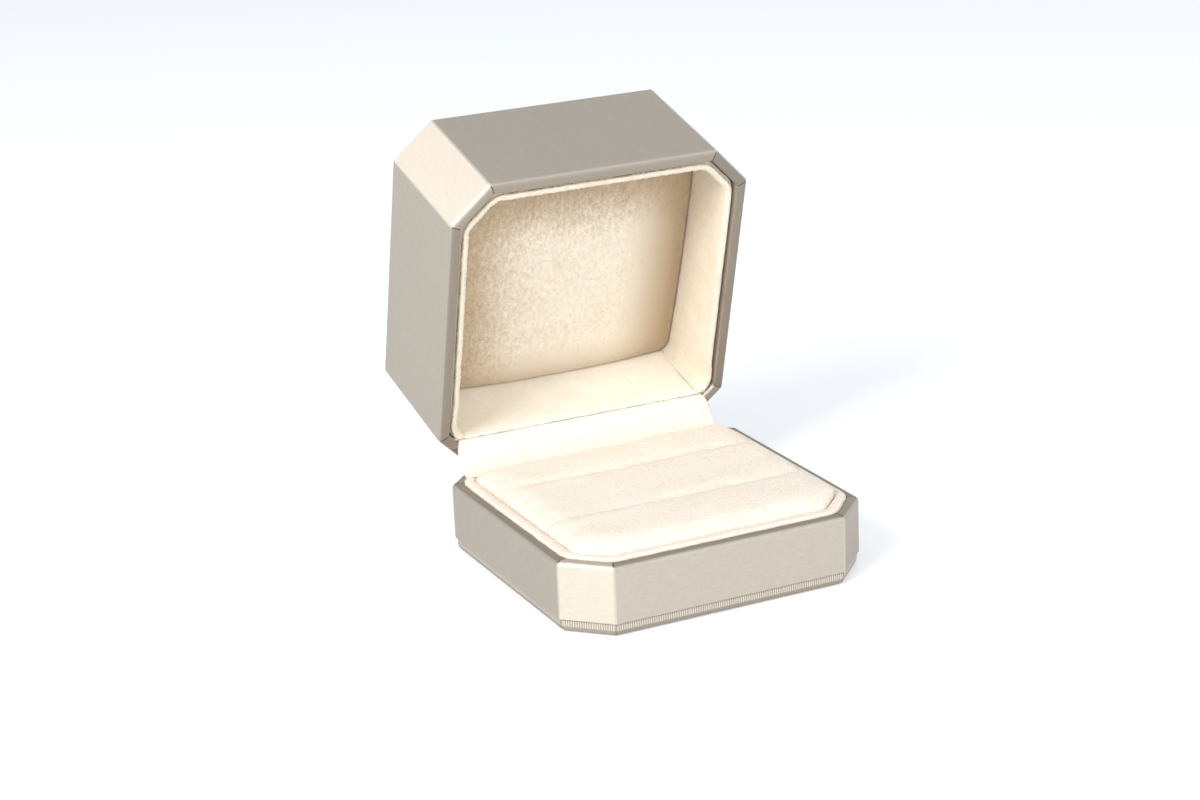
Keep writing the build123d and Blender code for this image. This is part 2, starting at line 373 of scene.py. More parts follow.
def leatherette(name, turn, rimLevel=None):
    # coated leatherette, brushed lengthways: a pearly champagne with fine lines round the box, a
    # soft stripe of light across them, and a mitred fold at each corner of the rim; the bottom
    # board's cover, which has no rim, is gathered into ribs
    piece = leatherettePiece
    material, tree = newMaterial(name)
    spot = boxCoordinates(tree, turn)
    # the brushed lines are finer than a pixel, so they are drawn 0.3 mm apart; the backing's
    # weave shows through them in short faint streaks
    flat = addNode(tree, "ShaderNodeCombineXYZ", {}, {"X": spot["along"], "Y": spot["across"]})
    layers = {}
    for layer, (streak, detail) in piece["layers"].items():
        laid = addNode(
            tree, "ShaderNodeVectorMath", {"operation": "DIVIDE"}, {0: flat.outputs[0], 1: streak}
        )
        layers[layer] = addNode(
            tree,
            "ShaderNodeTexNoise",
            {"noise_dimensions": "2D"},
            {"Vector": laid.outputs[0], "Scale": 1.0, "Detail": detail, "Roughness": 0.6},
        ).outputs[0]
    grain = addNode(
        tree,
        "ShaderNodeMix",
        {"data_type": "FLOAT"},
        {"Factor": piece["weaveShare"], "A": layers["line"], "B": layers["weave"]},
    ).outputs["Result"]
    fold = addNode(
        tree,
        "ShaderNodeMapRange",
        {"interpolation_type": "SMOOTHSTEP"},
        {"Value": spot["mitreGap"], "From Max": piece["foldMm"], "To Min": 1.0, "To Max": 0.0},
    ).outputs["Result"]
    if rimLevel is None:
        foldShare = piece["boardFold"]
        # gathered ribs, 0.4 mm apart on the real board and drawn at 0.5 mm, with painted shade between
        # them and a painted highlight on them, over a low half painted darker as shade where it curves
        # under
        phase = addNode(
            tree,
            "ShaderNodeMath",
            {"operation": "MULTIPLY"},
            {0: spot["along"], 1: 2 * math.pi / piece["ribMm"]},
        )
        rib = addNode(tree, "ShaderNodeMath", {"operation": "SINE"}, {0: phase.outputs[0]}).outputs[0]
        ribTone = addNode(
            tree,
            "ShaderNodeMapRange",
            {"interpolation_type": "SMOOTHSTEP"},
            {"Value": rib, "From Min": piece["ribTone"][0], "From Max": piece["ribTone"][1]},
        ).outputs["Result"]
        ribColour = addNode(
            tree,
            "ShaderNodeMix",
            {"data_type": "RGBA"},
            {"Factor": ribTone, "A": linear(piece["ribShade"]), "B": linear(piece["ribLight"])},
        ).outputs["Result"]
        upper = addNode(
            tree,
            "ShaderNodeMapRange",
            {"interpolation_type": "SMOOTHSTEP"},
            {"Value": spot["z"], "From Min": piece["ribFade"][0], "From Max": piece["ribFade"][1]},
        ).outputs["Result"]
        colour = addNode(
            tree,
            "ShaderNodeMix",
            {"data_type": "RGBA"},
            {"Factor": upper, "A": linear(piece["underShadeColour"]), "B": ribColour},
        ).outputs["Result"]
    else:
        rimGap = addNode(
            tree, "ShaderNodeMath", {"operation": "SUBTRACT"}, {0: spot["z"], 1: rimLevel}
        ).outputs[0]
        rimNear = addNode(tree, "ShaderNodeMath", {"operation": "ABSOLUTE"}, {0: rimGap}).outputs[0]
        onRim = addNode(
            tree,
            "ShaderNodeMapRange",
            {"interpolation_type": "SMOOTHSTEP"},
            {
                "Value": rimNear,
                "From Min": piece["rimFade"][0],
                "From Max": piece["rimFade"][1],
                "To Min": 1.0,
                "To Max": 0.0,
            },
        ).outputs["Result"]
        foldShare = onRim
        tone = addNode(
            tree,
            "ShaderNodeMapRange",
            {},
            {"Value": grain, "From Min": piece["contrast"][0], "From Max": piece["contrast"][1]},
        ).outputs["Result"]
        colour = addNode(
            tree,
            "ShaderNodeMix",
            {"data_type": "RGBA"},
            {"Factor": tone, "A": linear(piece["darkColour"]), "B": linear(piece["colour"])},
        ).outputs["Result"]
        # painted shade: turned over the rim, the skin is painted darker, as the rim catches less of
        # the light
        rimShadeShare = addNode(
            tree, "ShaderNodeMath", {"operation": "MULTIPLY"}, {0: onRim, 1: piece["rimShadeShare"]}
        ).outputs[0]
        colour = addNode(
            tree,
            "ShaderNodeMix",
            {"data_type": "RGBA"},
            {"Factor": rimShadeShare, "A": colour, "B": linear(piece["rimShadeColour"])},
        ).outputs["Result"]
    foldHere = addNode(
        tree, "ShaderNodeMath", {"operation": "MULTIPLY"}, {0: fold, 1: foldShare}
    ).outputs[0]
    # painted highlight: the upright edges, where the folds catch the light, are painted paler
    edge = addNode(
        tree,
        "ShaderNodeMapRange",
        {"interpolation_type": "SMOOTHSTEP"},
        {
            "Value": spot["mitreGap"],
            "From Max": piece["edgeHighlightMm"],
            "To Min": piece["edgeHighlightShare"],
            "To Max": 0.0,
        },
    ).outputs["Result"]
    outside = addNode(
        tree,
        "ShaderNodeMath",
        {"operation": "LESS_THAN"},
        {0: spot["nearest"], 1: piece["skinMm"]},
    ).outputs[0]
    paintedEdgeHighlight = addNode(tree, "ShaderNodeMath", {"operation": "MULTIPLY"}, {0: edge, 1: outside}).outputs[0]
    for share, over in ((paintedEdgeHighlight, "edgeHighlightColour"), (foldHere, "foldColour")):
        colour = addNode(
            tree,
            "ShaderNodeMix",
            {"data_type": "RGBA"},
            {"Factor": share, "A": colour, "B": linear(piece[over])},
        ).outputs["Result"]
    height = addNode(
        tree,
        "ShaderNodeMath",
        {"operation": "MULTIPLY_ADD"},
        {0: foldHere, 1: -piece["foldDepth"], 2: grain},
    ).outputs[0]
    if rimLevel is None:
        ribRise = addNode(
            tree,
            "ShaderNodeMapRange",
            {"interpolation_type": "SMOOTHSTEP"},
            {
                "Value": spot["z"],
                "From Min": piece["ribRise"][0],
                "From Max": piece["ribRise"][1],
                "To Max": piece["ribDepth"],
            },
        ).outputs["Result"]
        height = addNode(
            tree, "ShaderNodeMath", {"operation": "MULTIPLY_ADD"}, {0: rib, 1: ribRise, 2: height}
        ).outputs[0]
    bump = addNode(
        tree,
        "ShaderNodeBump",
        {},
        {"Height": height, "Strength": 0.5, "Distance": piece["bumpMm"] * mm},
    )
    # light spreads across the brushed lines: up a wall, and outwards over a rim
    geometry = addNode(tree, "ShaderNodeNewGeometry")
    openWay = addNode(
        tree,
        "ShaderNodeVectorRotate",
        {"rotation_type": "X_AXIS"},
        {"Vector": spot["way"], "Center": (0, 0, 0), "Angle": -turn},
    )
    worldWay = addNode(
        tree,
        "ShaderNodeVectorTransform",
        {"vector_type": "VECTOR", "convert_from": "OBJECT", "convert_to": "WORLD"},
        {"Vector": openWay.outputs[0]},
    )
    upWay = addNode(
        tree,
        "ShaderNodeVectorMath",
        {"operation": "CROSS_PRODUCT"},
        {0: geometry.outputs["Normal"], 1: worldWay.outputs[0]},
    )
    shader = addNode(
        tree,
        "ShaderNodeBsdfPrincipled",
        {},
        {
            "Base Color": colour,
            "Metallic": piece["metallic"],
            "Roughness": piece["roughness"],
            "Anisotropic": piece["anisotropic"],
            "Normal": bump.outputs[0],
            "Tangent": upWay.outputs[0],
        },
    )
    addNode(tree, "ShaderNodeOutputMaterial", {}, {"Surface": shader.outputs[0]})
    return material


leatheretteLid = leatherette("brushedLeatheretteLid", hinge["openAngle"], box["lidRim"])
leatheretteBase = leatherette("brushedLeatheretteBase", 0.0, box["baseRim"])
leatheretteBoard = leatherette("brushedLeatheretteBoard", 0.0)
print("leatherette mixed")


# layers are (size in mm, detail, closeness along x, y and z): patches of nap, brushed tufts, and a
# pile drawn about twice as coarse as the real one; edges are (axis, start, end) of a painted shade's
# fade in mm
suedeFinish = {
    "panel": {
        "pale": "#FBF4E8",
        "deep": "#D9C8AE",
        # painted shade towards the panel's sides
        "shadePale": "#C4B095",
        "shadeDeep": "#AD977A",
        "edges": [("X", -8, -27), ("X", 12, 29), ("Y", -9, -25), ("Y", 16, 32)],
        "raggedMm": 16.0,
        "layers": {
            "patch": (6.0, 2.0, (1.0, 1.0, 1.0)),
            "nap": (0.8, 2.0, (1.0, 1.0, 0.5)),
            "pile": (0.4, 3.0, (1.0, 1.0, 1.0)),
        },
        "pileShare": 0.45,
        "patchShare": 0.12,
        "contrast": 2.3,
        "napMm": 0.2,
    },
    "lining": {
        "pale": "#F2EADB",
        "deep": "#DFD0B9",
        "layers": {
            "patch": (5.0, 3.0, (1.0, 1.0, 1.0)),
            "nap": (0.9, 3.0, (0.6, 1.0, 1.0)),
            "pile": (0.4, 3.0, (1.0, 1.0, 1.0)),
        },
        "pileShare": 0.5,
        "patchShare": 0.35,
        "contrast": 2.4,
        "napMm": 0.14,
    },
    "pad": {
        "pale": "#FEF6EA",
        "deep": "#E9D9C6",
        "layers": {
            "patch": (7.0, 2.0, (1.0, 1.0, 1.0)),
            "nap": (0.8, 2.0, (0.7, 1.0, 1.0)),
            "pile": (0.34, 3.0, (1.0, 0.5, 0.7)),
        },
        "pileShare": 0.75,
        "patchShare": 0.12,
        "contrast": 3.2,
        "napMm": 0.2,
    },
}
# the back wall and the flap are cut from the lining's suede, with painted light: a paler colour where
# light meets them flat
suedeFinish["rear"] = {**suedeFinish["lining"], "pale": "#FAF4E7", "deep": "#EDE2D1"}


def suede(name, finish):
    # microfibre suede, sheared short: no gloss, a bright soft edge, lighter and darker patches
    # where the nap lies the other way, and a fine pile
    material, tree = newMaterial(name)
    where = addNode(tree, "ShaderNodeTexCoord")
    layers = {}
    for layer, (sizeMm, detail, stretch) in finish["layers"].items():
        shaped = addNode(
            tree,
            "ShaderNodeVectorMath",
            {"operation": "MULTIPLY"},
            {0: where.outputs["Object"], 1: stretch},
        )
        layers[layer] = addNode(
            tree,
            "ShaderNodeTexNoise",
            {},
            {
                "Vector": shaped.outputs[0],
                "Scale": 1000 / sizeMm,
                "Detail": detail,
                "Roughness": 0.6,
                "Distortion": 0.4,
            },
        ).outputs[0]
    napAndPile = addNode(
        tree,
        "ShaderNodeMix",
        {"data_type": "FLOAT"},
        {"Factor": finish["pileShare"], "A": layers["nap"], "B": layers["pile"]},
    ).outputs["Result"]
    mixed = addNode(
        tree,
        "ShaderNodeMix",
        {"data_type": "FLOAT"},
        {"Factor": finish["patchShare"], "A": napAndPile, "B": layers["patch"]},
    ).outputs["Result"]
    spread = 0.5 / finish["contrast"]
    tone = addNode(
        tree,
        "ShaderNodeMapRange",
        {},
        {"Value": mixed, "From Min": 0.5 - spread, "From Max": 0.5 + spread},
    ).outputs["Result"]
    colour = addNode(
        tree,
        "ShaderNodeMix",
        {"data_type": "RGBA"},
        {"Factor": tone, "A": linear(finish["deep"]), "B": linear(finish["pale"])},
    ).outputs["Result"]
    if "edges" in finish:
        # painted shade: the panel darkens towards all four sides, where the lid's walls shade it and
        # its domed edges turn from the light
        pin = (0, hinge["y"] * mm, hinge["z"] * mm)
        shut = addNode(
            tree,
            "ShaderNodeVectorRotate",
            {"rotation_type": "X_AXIS"},
            {"Vector": where.outputs["Object"], "Center": pin, "Angle": hinge["openAngle"]},
        )
        split = addNode(tree, "ShaderNodeSeparateXYZ", {}, {"Vector": shut.outputs[0]})
        raggedRun = finish["raggedMm"] * mm
        ragged = addNode(
            tree,
            "ShaderNodeMath",
            {"operation": "MULTIPLY_ADD"},
            {0: mixed, 1: raggedRun, 2: -raggedRun / 2},
        ).outputs[0]
        kept = 1.0
        for axis, start, end in finish["edges"]:
            moved = addNode(
                tree, "ShaderNodeMath", {"operation": "ADD"}, {0: split.outputs[axis], 1: ragged}
            ).outputs[0]
            clear = addNode(
                tree,
                "ShaderNodeMapRange",
                {"interpolation_type": "SMOOTHSTEP"},
                {
                    "Value": moved,
                    "From Min": start * mm,
                    "From Max": end * mm,
                    "To Min": 1.0,
                    "To Max": 0.0,
                },
            ).outputs["Result"]
            kept = addNode(
                tree, "ShaderNodeMath", {"operation": "MULTIPLY"}, {0: kept, 1: clear}
            ).outputs[0]
        edgeShadeColour = addNode(
            tree,
            "ShaderNodeMix",
            {"data_type": "RGBA"},
            {"Factor": tone, "A": linear(finish["shadeDeep"]), "B": linear(finish["shadePale"])},
        ).outputs["Result"]
        colour = addNode(
            tree,
            "ShaderNodeMix",
            {"data_type": "RGBA"},
            {"Factor": kept, "A": edgeShadeColour, "B": colour},
        ).outputs["Result"]
    bump = addNode(
        tree,
        "ShaderNodeBump",
        {},
        {"Height": napAndPile, "Strength": 0.8, "Distance": finish["napMm"] * mm},
    )
    shader = addNode(
        tree,
        "ShaderNodeBsdfPrincipled",
        {},
        {
            "Base Color": colour,
            "Roughness": 0.95,
            "Specular IOR Level": 0.1,
            "Sheen Weight": 0.25,
            "Sheen Roughness": 0.4,
            "Normal": bump.outputs[0],
        },
    )
    addNode(tree, "ShaderNodeOutputMaterial", {}, {"Surface": shader.outputs[0]})
    return material


panelSuede = suede("shearedSuedePanel", suedeFinish["panel"])
liningSuede = suede("shearedSuedeLining", suedeFinish["lining"])
rearSuede = suede("shearedSuedeRear", suedeFinish["rear"])
padSuede = suede("shearedSuedePad", suedeFinish["pad"])
print("suede mixed")


# core: injection-moulded polystyrene, satin with faint flow marks; board: pressed fibreboard, dull
# with short fibres; card: grey board, dull and flecked; steel: nickel-plated strip, a soft shine
innerFinish = {
    "core": {
        "name": "mouldedPolystyrene",
        "colour": "#D8D3C8",
        "second": "#CDC7BB",
        "metallic": 0.0,
        "roughness": 0.5,
        "fleckMm": 1.2,
        "bumpMm": 0.02,
    },
    "board": {
        "name": "pressedFibreboard",
        "colour": "#A98C63",
        "second": "#8A6F4B",
        "metallic": 0.0,
        "roughness": 0.85,
        "fleckMm": 0.8,
        "bumpMm": 0.05,
    },
    "card": {
        "name": "greyCard",
        "colour": "#B9AF9E",
        "second": "#A39987",
        "metallic": 0.0,
        "roughness": 0.9,
        "fleckMm": 0.5,
        "bumpMm": 0.03,
    },
    "steel": {
        "name": "platedSteel",
        "colour": "#C9C5BC",
        "second": "#B5B0A6",
        "metallic": 1.0,
        "roughness": 0.3,
        "fleckMm": 0.4,
        "bumpMm": 0.01,
    },
}


def innerMaterial(finish):
    material, tree = newMaterial(finish["name"])
    where = addNode(tree, "ShaderNodeTexCoord")
    fleck = addNode(
        tree,
        "ShaderNodeTexNoise",
        {},
        {"Vector": where.outputs["Object"], "Scale": 1000 / finish["fleckMm"], "Detail": 4.0},
    ).outputs[0]
    colour = addNode(
        tree,
        "ShaderNodeMix",
        {"data_type": "RGBA"},
        {"Factor": fleck, "A": linear(finish["second"]), "B": linear(finish["colour"])},
    ).outputs["Result"]
    bump = addNode(
        tree,
        "ShaderNodeBump",
        {},
        {"Height": fleck, "Strength": 0.4, "Distance": finish["bumpMm"] * mm},
    )
    shader = addNode(
        tree,
        "ShaderNodeBsdfPrincipled",
        {},
        {
            "Base Color": colour,
            "Metallic": finish["metallic"],
            "Roughness": finish["roughness"],
            "Normal": bump.outputs[0],
        },
    )
    addNode(tree, "ShaderNodeOutputMaterial", {}, {"Surface": shader.outputs[0]})
    return material


inner = {slot: innerMaterial(finish) for slot, finish in innerFinish.items()}
dressing = [
    (leatheretteBase, ["base_leatherette", "bottom_leatherette"]),
    (leatheretteLid, ["lid_leatherette"]),
    (inner["core"], ["base_tray", "lid_shell"]),
    (inner["board"], ["bottom_board"]),
    (inner["card"], ["base_collar_card", "pad_board", "lid_lining_card", "lid_panel_board"]),
    (inner["steel"], ["hinge_leaf_base", "hinge_leaf_lid", "hinge_rivets_base", "hinge_rivets_lid"]),
    (inner["steel"], ["hinge_pin", "hinge_bow_spring"]),
]
for material, nodeNames in dressing:
    for nodeName in nodeNames:
        mesh = nodes[nodeName].data
        mesh.materials.clear()
        mesh.materials.append(material)
print("frame dressed")


rearPiece = {
    "low": 0.75,
    "high": 21.0,
    "half": 31.05,
    "faceY": 27.65,
    "faceFrom": 1.7,
    "faceSlope": 0.094,
    "panelDepth": 17.5,
    "lean": 0.7,
    "leanRun": 9.0,
    "thick": 0.55,
    "edgeRound": 0.45,
    "cutFrom": 25.5,
    "cutGap": 0.12,
    "fluff": 0.05,
    "fluffPerMm": 1.3,
    "rows": 46,
    "rowCrowding": 1.2,
    "columns": 180,
    "fill": 0.2,
}


def rearFace(z):
    # the back wall leans in down to the panel's edge and stands straight behind it
    piece = rearPiece
    depth = min(z, box["lidRim"] + piece["panelDepth"]) - box["lidRim"] - piece["faceFrom"]
    return piece["faceY"] - depth * piece["faceSlope"]


def paddedFace(z):
    # near the rim the padded back wall stands a little further in
    up = unit((z - box["lidRim"] - rearPiece["low"]) / rearPiece["leanRun"])
    return rearFace(z) - rearPiece["lean"] * (1 - up * up * (3 - 2 * up))


# suede is wrapped over the edge of a card band, in the lid and in the base
wrap = {
    "step": 0.35,
    "outerParts": 4,
    "outerArc": 5,
    "innerArc": 7,
    "innerStep": 0.8,
    "fluffPerMm": 2.1,
}


def lipSection(piece, edge, sign):
    # up the outer side, over the lip and down the inner side; sign is 1 where inside is up
    outer = piece["outerRound"]
    inward = piece["innerRound"]
    outerRun = piece["outerDepth"] - outer
    section = []
    for k in range(wrap["outerParts"], 0, -1):
        section.append((0.0, edge + sign * (outer + outerRun * k / wrap["outerParts"])))
    for k in range(wrap["outerArc"] + 1):
        angle = math.pi / 2 * k / wrap["outerArc"]
        section.append((outer - outer * math.cos(angle), edge + sign * outer * (1 - math.sin(angle))))
    for k in range(1, wrap["innerArc"] + 1):
        angle = math.pi / 2 * k / wrap["innerArc"]
        across = piece["thick"] - inward + inward * math.sin(angle)
        section.append((across, edge + sign * inward * (1 - math.cos(angle))))
    innerRun = piece["depth"] - inward
    count = max(4, int(innerRun / wrap["innerStep"]))
    for k in range(1, count + 1):
        section.append((piece["thick"], edge + sign * (inward + innerRun * k / count)))
    return section


def fluffAt(x, y, z, perMm, shift):
    return noise.noise(Vector((x * perMm, y * perMm, z * perMm + shift)))


liningPiece = {
    "inset": 3.3,
    "round": 5.0,
    "endY": 27.5,
    "thick": 1.35,
    "lip": 0.55,
    "outerRound": 0.4,
    "outerDepth": 1.0,
    "innerRound": 0.75,
    "depth": 21.0,
    "ledge": 0.72,
    "ledgeStops": (5.0, 3.5, 2.2, 1.35),
    "ledgeLip": (0.2, 0.1),
    "endGap": 0.03,
    "sheet": 0.3,
    "fluff": 0.19,
    "fluffRun": 1.6,
    "fluffInside": 0.25,
    "waves": 0.1,
    "wavePerMm": 0.3,
    "endLean": 0.5,
    "leanFrom": 18,
    "leanRun": 7,
    "leanDepth": 2.0,
}


def makeLidLining():
    piece = liningPiece
    low = box["lidRim"] + piece["lip"]
    stations = roundedPath(bandPath(piece["inset"], piece["endY"]), piece["round"], wrap["step"])
    # outside the lip the lining fills out to the rim's inner side
    section = [(-piece["ledge"], low + depth) for depth in piece["ledgeStops"]]
    ledgeIn, ledgeUp = piece["ledgeLip"]
    section.append((-piece["ledge"] + ledgeIn, low + piece["outerDepth"] + ledgeUp))
    ledgePoints = len(section)
    section += lipSection(piece, low, 1)

    def fluff(x, y, z, j):
        fine = fluffAt(x, y, z, wrap["fluffPerMm"], 0) * piece["fluff"]
        coarse = fluffAt(x, y, z, piece["wavePerMm"], 0) * piece["waves"]
        near = max(0.0, 1 - (z - low) / piece["fluffRun"])
        # towards its two ends the band leans out against the rim
        lean = 0.0
        if j >= ledgePoints:
            lean = piece["endLean"] * unit((y - piece["leanFrom"]) / piece["leanRun"])
            lean *= max(0.0, 1 - (z - low) / piece["leanDepth"])
        return fine * (piece["fluffInside"] + near) + coarse + lean, fine * near

    points, faces = sweepSection(stations, section, lambda x, y, z: Vector((x, y, z)), False, fluff)
    # its two ends butt against the leaning back wall
    trimmed = [lidPlace(p.x, min(p.y, paddedFace(p.z) - piece["endGap"]), p.z) for p in points]
    obj = makeObject("lidLining", trimmed, faces, liningSuede)
    thicken(obj, -piece["sheet"], -1)
    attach(obj, "lid")
    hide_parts("lid_lining_suede")
    runLength(section) * mm
    runLength(stations) * mm


makeLidLining()
print("lid lining made")


collarPiece = {
    "inset": 2.5,
    "round": 5.0,
    "pathEnd": 28.2,
    "endY": 26.1,
    "thick": 1.85,
    "lip": 0.4,
    "outerRound": 0.35,
    "outerDepth": 3.0,
    "innerRound": 0.8,
    "depth": 6.0,
    "sheet": 0.3,
    "fluff": 0.08,
    "fluffUp": 0.6,
    "fluffShift": 31,
    "wavePerMm": 0.25,
    "waveShift": 7.0,
    "lean": 0.15,
    "leanFront": 0.4,
    "leanLeft": 0.4,
    "leanBeyond": 29,
    "leanAbove": 0.06,
    "leanPoints": 12,
    "leanUneven": (0.8, 0.5),
    "leanEnd": 24,
    "leanRun": 4,
}


def makeCollar():
    piece = collarPiece
    top = box["baseRim"] + piece["lip"]
    stations = roundedPath(bandPath(piece["inset"], piece["pathEnd"]), piece["round"], wrap["step"])
    section = lipSection(piece, top, -1)
    lipLevel = box["baseRim"] + piece["leanAbove"]
    beyond = -piece["leanBeyond"]

    def fluff(x, y, z, j):
        fine = fluffAt(x, y, z, wrap["fluffPerMm"], piece["fluffShift"]) * piece["fluff"]
        coarse = fluffAt(x, y, 0.0, piece["wavePerMm"], piece["waveShift"])
        # above the rim the suede leans outwards over it, most along the left and front walls
        lean = 0.0
        if z > lipLevel and j < piece["leanPoints"]:
            lean = piece["leanLeft"] if x < beyond else piece["lean"]
            lean = piece["leanFront"] if y < beyond else lean
            steady, uneven = piece["leanUneven"]
            lean *= (steady + uneven * coarse) * unit((piece["leanEnd"] - y) / piece["leanRun"])
        return fine + lean, fine * piece["fluffUp"]

    # its two ends are cut off square at the flap
    end = piece["endY"]
    points, faces = sweepSection(
        stations, section, lambda x, y, z: basePlace(x, min(y, end), z), False, fluff
    )
    obj = makeObject("baseCollar", points, faces, padSuede)
    thicken(obj, -piece["sheet"], -1)
    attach(obj, "base")
    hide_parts("base_collar_suede")
    runLength(section) * mm
    runLength(stations) * mm


makeCollar()
print("collar made")


# the padded pieces share one form, which is then blown up a little as cloth
cushion = {
    "rings": 44,
    "around": 320,
    "crowding": 0.75,
    "sideParts": 6,
    "farthest": 80.0,
    "halvings": 40,
    "shoulder": (2.8, 0.45),
}


def wallSides(inset, back=None, front=None):
    # each side is (outward x, outward y, distance from the middle)
    half = box["half"] - inset
    cut = box["cornerCut"] - inset * (2 - math.sqrt(2))
    root = math.sqrt(0.5)
    slant = (2 * half - cut) * root
    sides = [(-1, 0, half), (1, 0, half), (0, -1, half), (-root, -root, slant), (root, -root, slant)]
    sides += [(-root, root, slant), (root, root, slant)]
    sides.append((0, 1, half if back is None else back))
    if front is not None:
        sides.append((0, -1, -front))
    return sides


def edgeGap(x, y, sides, blend):
    # the distance to the nearest side, blended softly where two sides meet
    gaps = [reach - x * outX - y * outY for outX, outY, reach in sides]
    total = sum(math.exp(-gap / blend) for gap in gaps)
    return -blend * math.log(total)


def softOutline(sides, blend, centre):
    # points where rays from the centre leave the softened outline
    outline = []
    for k in range(cushion["around"]):
        angle = 2 * math.pi * k / cushion["around"]
        wayX = math.cos(angle)
        wayY = math.sin(angle)
        low = 0.0
        high = cushion["farthest"]
        for _ in range(cushion["halvings"]):
            middle = (low + high) / 2
            if edgeGap(centre[0] + wayX * middle, centre[1] + wayY * middle, sides, blend) > 0:
                low = middle
            else:
                high = middle
        outline.append((centre[0] + wayX * low, centre[1] + wayY * low))
    return outline


def softDrop(gap, width, depth):
    # how far a rounded edge has fallen at a distance in from it
    start, finish = cushion["shoulder"]
    part = 1 - unit(gap / width)
    return depth * (1 - (1 - part**start) ** finish)


def cushionForm(sides, centre, blend, topAt, bottom):
    # rings from the centre out to the edge, down the side and back to the middle underneath
    outline = softOutline(sides, blend, centre)
    count = cushion["around"]
    parts = cushion["sideParts"]
    levels = []
    for k in range(1, cushion["rings"] + 1):
        share = (k / cushion["rings"]) ** cushion["crowding"]
        level = []
        for x, y in outline:
            px = centre[0] + (x - centre[0]) * share
            py = centre[1] + (y - centre[1]) * share
            level.append((px, py, topAt(px, py)))
        levels.append(level)
    edge = levels[-1]
    for k in range(1, parts + 1):
        levels.append([(x, y, z + (bottom - z) * k / parts) for x, y, z in edge])
    for k in range(parts - 1, 0, -1):
        level = []
        for x, y in outline:
            px = centre[0] + (x - centre[0]) * k / parts
            py = centre[1] + (y - centre[1]) * k / parts
            level.append((px, py, bottom))
        levels.append(level)
    points = [point for level in levels for point in level]
    top = len(points)
    points.append((centre[0], centre[1], topAt(*centre)))
    under = len(points)
    points.append((centre[0], centre[1], bottom))
    faces = []
    for number in range(len(levels) - 1):
        a = number * count
        b = a + count
        for k in range(count):
            n = (k + 1) % count
            faces.append((a + k, a + n, b + n, b + k))
    last = (len(levels) - 1) * count
    for k in range(count):
        n = (k + 1) % count
        faces.append((top, n, k))
        faces.append((under, last + k, last + n))
    return points, faces


simulation = {
    "grow": 10.0,
    "voxelMm": 1.2,
    "pressure": 4.0,
    "pinStiffness": 5,
    "frames": 20,
    "capMm": 0.5,
    "neighbours": 8,
    "blurMm": 0.3,
}


def swell(obj, upwards, heldBelow):
    # a coarser copy is blown up as cloth with air pressure, at ten times the size, where its
    # stiffness is that of a seat pad, and the piece rises with it; tight between its neighbours,
    # it can only swell upwards
    scene = bpy.context.scene
    grow = simulation["grow"]
    copy = obj.copy()
    copy.data = obj.data.copy()
    scene.collection.objects.link(copy)
    remesh = copy.modifiers.new("remesh", "REMESH")
    remesh.mode = "VOXEL"
    remesh.voxel_size = simulation["voxelMm"] * mm
    applyModifiers(copy)
    start = [v.co.copy() for v in copy.data.vertices]
    copy.data.transform(Matrix.Scale(grow, 4))
    group = copy.vertex_groups.new(name="held")
    for vertex in copy.data.vertices:
        if heldBelow(start[vertex.index] / mm):
            group.add([vertex.index], 1.0, "REPLACE")
    cloth = copy.modifiers.new("cloth", "CLOTH")
    cloth.settings.use_pressure = True
    cloth.settings.uniform_pressure_force = simulation["pressure"]
    cloth.settings.effector_weights.gravity = 0
    cloth.settings.vertex_group_mass = "held"
    cloth.settings.pin_stiffness = simulation["pinStiffness"]
    cloth.collision_settings.use_self_collision = False
    cloth.collision_settings.use_collision = False
    cloth.point_cache.frame_start = 1
    cloth.point_cache.frame_end = simulation["frames"]
    for number in range(1, simulation["frames"] + 1):
        scene.frame_set(number)
    swollen = copy.evaluated_get(bpy.context.evaluated_depsgraph_get()).data
    cap = simulation["capMm"] * mm
    rises = []
    tree = kdtree.KDTree(len(start))
    for number, (first, vertex) in enumerate(zip(start, swollen.vertices)):
        rise = (vertex.co / grow - first).dot(upwards)
        rises.append(min(cap, max(0.0, rise)))
        tree.insert(first, number)
    tree.balance()
    bpy.data.objects.remove(copy)
    scene.frame_set(1)
    for vertex in obj.data.vertices:
        near = tree.find_n(vertex.co, simulation["neighbours"])
        weights = [1 / (distance + simulation["blurMm"] * mm) for _, _, distance in near]
        total = sum(w * rises[number] for w, (_, number, _) in zip(weights, near))
        vertex.co += upwards * (total / sum(weights))
    obj.data.update()
    print(obj.name, "swelled by up to", round(max(rises) / mm, 3), "mm")


panelPiece = {
    "inset": 4.62,
    "back": 26.15,
    "face": 14.3,
    "bottomDepth": 28.3,
    "domeX": 1.9,
    "domeY": 1.0,
    "domeRise": 2.4,
    "lean": 0.055,
    "edgeWidth": 0.9,
    "edgeDrop": 0.7,
    "cornerBlend": 0.3,
    "heldBehind": 6,
    "fill": 0.6,
}


